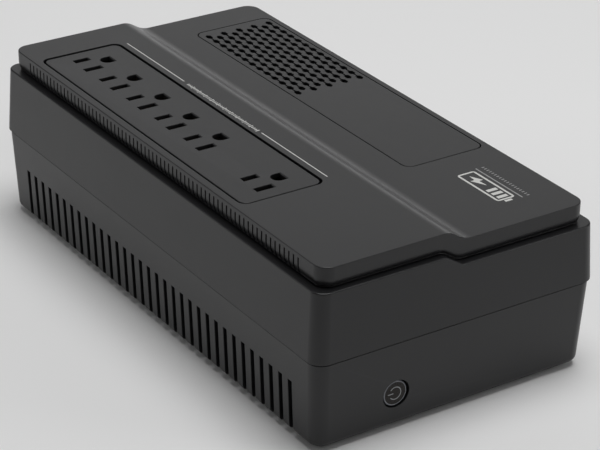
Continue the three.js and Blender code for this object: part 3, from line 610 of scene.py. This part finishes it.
def outlet_panel():
    """The panel of six sockets. Each hole ends in a sloped lead-in towards +X."""
    piece = panel("outlet_panel_face", OUTLETS, 4.0, 0.35)
    top = OUTLETS[1].z

    def blade(y, length):
        x, half = (SOCKET_X - length / 2, SOCKET_X + length / 2 - LEAD_IN[0]), BLADE_WIDTH / 2
        return box(x, (y - half, y + half), (60, FAR))

    def ground(y):
        x = SOCKET_X + GROUND_DX
        flat = x + GROUND_FLAT - LEAD_IN[0]
        return prism([(flat, y - GROUND_R), (flat, y + GROUND_R), *arc(x, y, GROUND_R, 90, 270, 24)], 60, FAR)

    def lead_in(x, y, half):
        """The sloped end of a hole whose +X end is at x."""
        wide, deep = LEAD_IN
        back = x - wide - 1
        slope = [(back, top - deep), (x - wide, top - deep), (x, top), (x, top + 1), (back, top + 1)]
        return tube([[(sx, sy, sz) for sx, sz in slope] for sy in (y - half, y + half)])

    holes, ends = [], []
    for y in SOCKET_Y:
        hot, neutral = y + BLADE_OFFSET, y - BLADE_OFFSET
        holes += [blade(hot, HOT_LENGTH), blade(neutral, NEUTRAL_LENGTH), ground(y)]
        ends += [lead_in(SOCKET_X + HOT_LENGTH / 2, hot, BLADE_WIDTH / 2),
                 lead_in(SOCKET_X + NEUTRAL_LENGTH / 2, neutral, BLADE_WIDTH / 2),
                 lead_in(SOCKET_X + GROUND_DX + GROUND_FLAT, y, GROUND_R)]
    carve(piece, merged(*holes))
    carve(piece, merged(*ends))
    return place(piece, PANELS, "case", "outlet_panel", width=0.25)


def vent_panel():
    """The panel of staggered rows of holes."""
    piece = panel("vent_panel_face", VENTS, 4.6, 0.3)
    w, l = HOLE_HALF
    holes, grooves = [], []
    for row, dx in enumerate(spaced(HOLE_ROWS, HOLE_ROW_PITCH)):
        x = HOLE_MIDDLE[0] + dx
        places = [HOLE_MIDDLE[1] + dy for dy in spaced(HOLES_PER_ROW - row % 2, HOLE_PITCH)]
        for y in places:
            corners = ((0, -l), (w, -l / 2), (w, l / 2), (0, l), (-w, l / 2), (-w, -l / 2))
            holes.append(prism([(x + a, y + b) for a, b in corners], 60, FAR))
        grooves.append(box((x - GROOVE_HALF, x + GROOVE_HALF), (places[0], places[-1]),
                           (VENTS[1].z - GROOVE_DEPTH, FAR)))
    carve(piece, merged(*holes))
    carve(piece, merged(*grooves))
    return place(piece, PANELS, "case", "vent_panel", width=0.15)


base_shell()
upper_shell()
lid()
outlet_panel()
vent_panel()


# ---------- power button ----------


def power_button():
    """A round cap with a soft rim, a flange behind the front wall and a stem."""
    low, high = span("power_button")
    at = middle("power_button")
    face, r, flange, stem = low.y, 6.7, 8.4, 3
    profile = [
        (0, face), (r - 1.3, face), (r - 0.9, face + 0.12), (r - 0.3, face + 0.55), (r, face + 1.2),
        (r, face + 2.1), (flange, face + 2.1), (flange, face + 3.3), (stem, face + 3.3), (stem, high.y),
        (0, high.y),
    ]
    piece = make("power_button_cap", turned(profile, (at.x, at.z), "y", 96))
    return place(piece, FACE, "button", "power_button", body="power_button", width=0.1)


def power_ring():
    """A thin glossy ring round the button's face, its pale colour a painted highlight on the button's rim."""
    at, face = middle("power_button"), span("power_button")[0].y
    outer, inner = 6.62, 5.75
    profile = [
        (inner, face + 0.3), (inner, face + 0.03), (inner + 0.12, face - 0.04), (inner + 0.4, face),
        (outer - 0.15, face + 0.3), (outer, face + 0.62), (outer, face + 1.0), (inner, face + 1.0),
    ]
    piece = make("power_button_ring", turned(profile, (at.x, at.z), "y", 96))
    return place(piece, RING_PAINTED_HIGHLIGHT, "button", body="power_button", width=0)


def power_symbol():
    """A broken ring with a bar in its gap, printed on the button. The gap is towards -X."""
    at, face = middle("power_button"), span("power_button")[0].y
    outer, inner, gap = 3.4, 2.9, 36
    ring = arc(0, 0, outer, 180 + gap, 540 - gap, 48) + arc(0, 0, inner, 540 - gap, 180 + gap, 48)
    bar = [(-4.1, -0.25), (-4.1, 0.25), (-1.0, 0.25), (-1.0, -0.25)]

    def printed(points):
        return tube([[(at.x + x, y, at.z + z) for x, z in points] for y in (face - 0.03, face + 0.2)])

    piece = make("power_symbol", merged(printed(ring), printed(bar)))
    return place(piece, SYMBOL, "button", body="power_button", width=0)


power_button()
power_ring()
power_symbol()


# ---------- prints on the top ----------


def ink(name, material, z, *outlines):
    """Flat printed shapes, each an outline of (x, y) points or a pair of outer and inner outlines."""
    low, high = z - 0.2, z + INK_THICK

    def printed(shape):
        if not isinstance(shape, tuple):
            return prism(shape, low, high)
        outer, inner = shape
        return looped([[(x, y, h) for x, y in ring] for ring, h in
                       ((outer, low), (outer, high), (inner, high), (inner, low))])

    return place(make(name, merged(*map(printed, outlines))), material, "case", width=0)


def oblong(x, y):
    return [(x[0], y[0]), (x[1], y[0]), (x[1], y[1]), (x[0], y[1])]


def round_box(x, y, r, inset=0.0):
    level = Level(0, (x[1] - x[0]) / 2 - inset, (y[1] - y[0]) / 2 - inset, r - inset)
    return outline(level, centre=((x[0] + x[1]) / 2, (y[0] + y[1]) / 2))


def top_lines():
    """Two lines beside the sockets, with a plain scale of short strokes between them."""
    line_x, half = -20.4, 0.28
    lines = [oblong((line_x - half, line_x + half), y) for y in ((61.9, 121.6), (-70.6, -12.5))]
    scale_x, scale_y, pitch, count, thick = -20.7, 24, 1.55, 44, 0.34
    for i, dy in enumerate(spaced(count, pitch)):
        reach = 1.25 if i % 4 == 0 else 0.8
        y = scale_y + dy
        lines.append(oblong((scale_x - reach, scale_x + reach), (y - thick, y + thick)))
    ink("top_lines", INK, HIGH_Z, *lines)


def battery_sign():
    """A battery with a bolt in it, a thin line and a row of strokes, in the low corner of the top."""
    x, y, r, line = (39.5, 50.0), (-125.0, -92.5), 1.6, 1.1
    border = (round_box(x, y, r), round_box(x, y, r, line))
    nub = oblong((42.7, 46.8), (-127.2, -125.6))
    bars = [oblong((41.8, 47.7), (at - 1.15, at + 1.15)) for at in (-121.6, -117.6, -113.6)]
    mid = (44.75, -102.2)
    bolt = [(mid[0] + a, mid[1] + b) for a, b in
            ((-0.2, 6.2), (3.0, -0.6), (0.7, -0.6), (1.0, -6.2), (-3.0, 1.4), (-0.6, 1.4))]
    ink("battery_sign", INK, LOW_Z, border, nub, *bars, bolt)
    strokes_y = [-109.3 + dy for dy in spaced(19, 1.95)]
    strokes = [oblong((55.3, 56.9), (at - 0.3, at + 0.3)) for at in strokes_y]
    ink("sign_line", GREY_INK, LOW_Z, oblong((51.9, 52.6), (-127.5, -91.0)), *strokes)


top_lines()
battery_sign()


# ---------- feet and the back ----------


def feet():
    """Round rubber feet, each with a rim to stand on and a barbed stem through the floor."""
    for name in FEET:
        low, high = span(name)
        at = middle(name)
        profile = [
            (0, low.z + 0.4), (4.4, low.z + 0.4), (4.8, low.z), (6.2, low.z), (6.8, low.z + 0.3),
            (7, low.z + 0.9), (7, 2.5), (2, 2.5), (2, 4.8), (2.3, 5.2), (1.2, high.z), (0, high.z),
        ]
        piece = make(name + "_rubber", turned(profile, (at.x, at.y)))
        place(piece, RUBBER, "rubber", name, width=0.15)


def thread(r, start, end, pitch, depth):
    """(radius, height) points of thread ridges from start to end."""
    count = max(1, round(abs(end - start) / pitch))
    step = (end - start) / count
    return [p for i in range(count) for p in (
        (r - depth, start + step * (i + 0.05)), (r, start + step * (i + 0.45)),
        (r, start + step * (i + 0.6)), (r - depth, start + step * (i + 0.95)))]


def cord_gland():
    """A strain relief in the back wall: a flange with a groove, a barb inside and a ribbed bore."""
    low, high = span("cord_gland")
    at, flange, neck, bore = middle("cord_gland"), (high.x - low.x) / 2, 5.7, 4.0
    out, wall = high.y, high.y - 1.5
    ribs = [(bore + d, out - 1 - k * 0.6) for k in range(9) for d in (0, 0.25)]
    profile = [
        (bore + 0.6, out - 0.1), (bore + 0.15, out - 0.5), *ribs, (bore, low.y + 0.2),
        (bore + 0.2, low.y), (neck - 0.2, low.y), (neck + 1.1, low.y + 1.6), (neck, low.y + 1.6),
        (neck, wall), (flange, wall), (flange, out - 0.8), (flange - 0.3, out - 0.25),
        (flange - 0.8, out - 0.02), (flange - 1.6, out),
        (flange - 1.8, out - 0.45), (flange - 2.2, out - 0.45), (flange - 2.4, out),
    ]
    piece = make("cord_gland_rubber", turned(profile, (at.x, at.z), "y", 72))
    place(piece, RUBBER, "rubber", "cord_gland", width=0.08)


def breaker():
    """The breaker behind the back wall, its threaded bushing with a hexagon nut, and its reset button."""
    low, high = span("breaker_body")
    at = middle("breaker_reset_button")
    centre = (at.x, at.z)
    block_end, r, bore = 147, 4.8, 3.4
    piece = make("breaker_block", box((low.x, high.x), (low.y, block_end), (low.z, high.z)))
    ridges = thread(r, block_end, high.y - 0.4, 0.7, 0.25)
    bushing = [(0, block_end - 1), (r - 0.3, block_end - 1), *ridges, (r - 0.5, high.y), (0, high.y)]
    carve(piece, turned(bushing, centre, "y", 48), "UNION")
    grooves = [box(x, (low.y + 4, low.y + 5), (low.z - 1, high.z + 1)) for x in
               ((low.x - 1, low.x + 0.4), (high.x - 0.4, high.x + 1))]
    carve(piece, merged(rod(bore, 140, FAR, centre, "y", 64), *grooves))
    place(piece, BLACK, "black", "breaker_body", width=0)

    low, high = span("breaker_nut")
    flats, hole = (high.z - low.z) / 2, BREAKER_HOLE_R
    corners = [(at.x + flats * math.sin(a), at.z + flats * math.cos(a)) for a in
               [math.pi / 3 * i for i in range(6)]]
    nut = make("breaker_hex_nut", tube([[(x, y, z) for x, z in corners] for y in (low.y, high.y)]))
    cone = [(0, low.y - 1), (9, low.y - 1), (9, high.y - 0.75), (flats * 0.84, high.y), (0, high.y)]
    carve(nut, turned(cone, centre, "y", 96), "INTERSECT")
    carve(nut, turned([(0, low.y - 1), (hole, low.y - 1), (hole, high.y - 0.35), (hole + 0.4, high.y + 0.05),
                       (0, high.y + 0.05)], centre, "y", 64))
    place(nut, STEEL, "steel", "breaker_nut", width=0)

    low, high = span("breaker_reset_button")
    r = (high.x - low.x) / 2
    cap = [(0, low.y), (r - 0.3, low.y), (r, low.y + 0.3), (r, high.y - 0.8), (r - 0.15, high.y - 0.35),
           (r - 0.5, high.y - 0.06), (r - 0.95, high.y), (r - 1.2, high.y - 0.12), (0, high.y - 0.2)]
    piece = make("breaker_reset_cap", turned(cap, centre, "y", 64))
    place(piece, BLACK, "black", "breaker_reset_button", body="breaker_reset_button", width=0.05)


def screw(node, upward):
    """A pan-head screw with a cross recess and a thread, its head below its thread or above it."""
    low, high = span(node)
    at = middle(node)
    head_r = (high.x - low.x) / 2
    r = head_r / 2
    seat, way = (low.z + r + 0.4, -1) if upward else (high.z - 1.5 * r, 1)
    length = (high.z if upward else low.z) - seat
    head = 1.15 * r
    dome = [(head_r * math.cos(a), way * (0.25 * r + (head - 0.25 * r) * math.sin(a))) for a in
            [math.pi / 2 * k / 6 for k in range(6)]]
    shank = thread(r, length + way * 1.2, -way * 0.4, 0.45 * r, 0.18 * r)
    profile = [(0, length), (0.35 * r, length), (0.8 * r, length + way * 1.1), *shank, (r * 0.9, 0),
               (head_r, 0), *dome, (0, way * head)]
    piece = make(node + "_pan_head", turned([(q, seat + h) for q, h in profile], (at.x, at.y), sides=32))
    arm, half = 1.05 * r, 0.2 * r
    cross = [(arm, -half), (arm, half), (half, half), (half, arm), (-half, arm), (-half, half), (-arm, half),
             (-arm, -half), (-half, -half), (-half, -arm), (half, -arm), (half, -half)]
    ends = (0.3 * r, head + 0.1)
    carve(piece, tube([[(at.x + x, at.y + y, seat + way * h) for x, y in cross] for h in ends]))
    place(piece, STEEL, "steel", node, width=0)


feet()
cord_gland()
breaker()
for i in range(1, 5):
    screw(f"case_screw_{i}", True)
    screw(f"cover_screw_{i}", True)
for i in (1, 2):
    screw(f"strap_screw_{i}", False)
    screw(f"transformer_screw_{i}", False)


# ---------- inside: the CAD's own pieces, with their edges softened ----------


def finish_inside():
    """Gives each CAD node that is still shown its finish and soft edges."""
    slots = {part["node"]: part["material_slot"] for part in frame["record"]["subparts"]}
    for name, node in frame["nodes"].items():
        if node.hide_render:
            continue
        node.material_slots[0].material = FINISH[slots[name]]
        soften(node, 0.15 if "strip" in name else 0.3, angle=50)


finish_inside()


# ---------- camera, floor and light ----------


def direction(azimuth, elevation):
    """Unit vector away from the object, its azimuth counted from the front towards +X."""
    return Vector((math.sin(azimuth) * math.cos(elevation), -math.cos(azimuth) * math.cos(elevation),
                   math.sin(elevation)))


def camera():
    """The view of the raised side and the front from a little above."""
    azimuth, elevation, roll = (math.radians(a) for a in (-33.55, 27.01, 0.78))
    distance, aside, down = 1.1704, 0.00915, 0.0203
    target = Vector((0, 0, 0.055))
    back = direction(azimuth, elevation)
    right = Vector((0, 0, 1)).cross(back).normalized()
    up = back.cross(right)
    r = right * math.cos(roll) + up * math.sin(roll)
    u = up * math.cos(roll) - right * math.sin(roll)
    data = bpy.data.cameras.new("camera")
    data.sensor_width = 36
    data.lens = 138.44
    data.clip_start, data.clip_end = 0.05, 50
    view = bpy.data.objects.new("camera", data)
    bpy.context.scene.collection.objects.link(view)
    view.matrix_world = Matrix.Translation(target + back * distance + r * aside - u * down) @ Matrix(
        (r, u, back)).transposed().to_4x4()
    bpy.context.scene.camera = view


def floor():
    """A plain pale floor."""
    half = 3.0
    mesh = bpy.data.meshes.new("floor")
    corners = [(-half, -half, 0), (half, -half, 0), (half, half, 0), (-half, half, 0)]
    mesh.from_pydata(corners, [], [(0, 1, 2, 3)])
    piece = bpy.data.objects.new("floor", mesh)
    bpy.context.scene.collection.objects.link(piece)
    paper = Nodes("floor_paper")
    paper.shader.inputs["Base Color"].default_value = (0.87, 0.87, 0.87, 1)
    paper.shader.inputs["Roughness"].default_value = 0.9
    paper.shader.inputs["Specular IOR Level"].default_value = 0.2
    mesh.materials.append(paper.material)


def softbox(name, azimuth, elevation, distance, size, power):
    """An area light of a given width and height that faces the object from the given direction."""
    away = direction(math.radians(azimuth), math.radians(elevation))
    data = bpy.data.lights.new(name, "AREA")
    data.shape = "RECTANGLE"
    data.size, data.size_y = size
    data.energy = power
    light = bpy.data.objects.new(name, data)
    bpy.context.scene.collection.objects.link(light)
    turn = away.to_track_quat("Z", "Y").to_matrix().to_4x4()
    light.matrix_world = Matrix.Translation(away * distance) @ turn


def studio():
    """Soft light from above, behind and both sides."""
    world = bpy.data.worlds.new("studio")
    world.use_nodes = True
    background = world.node_tree.nodes["Background"]
    background.inputs["Color"].default_value = (1, 1, 1, 1)
    background.inputs["Strength"].default_value = 0.05
    bpy.context.scene.world = world
    softbox("overhead", 60, 85, 2.0, (1.2, 1.2), 27)
    softbox("behind", 146, 27, 2.2, (1.8, 1.8), 5.2)
    softbox("low_behind", 136, 5, 1.8, (1.5, 0.3), 1.1)
    softbox("right", 48, 24, 2.0, (1.0, 1.0), 6.5)
    softbox("left", -130, 27, 2.0, (1.2, 1.0), 4.5)
    bpy.context.scene.view_settings.view_transform = "Standard"


camera()
floor()
studio()
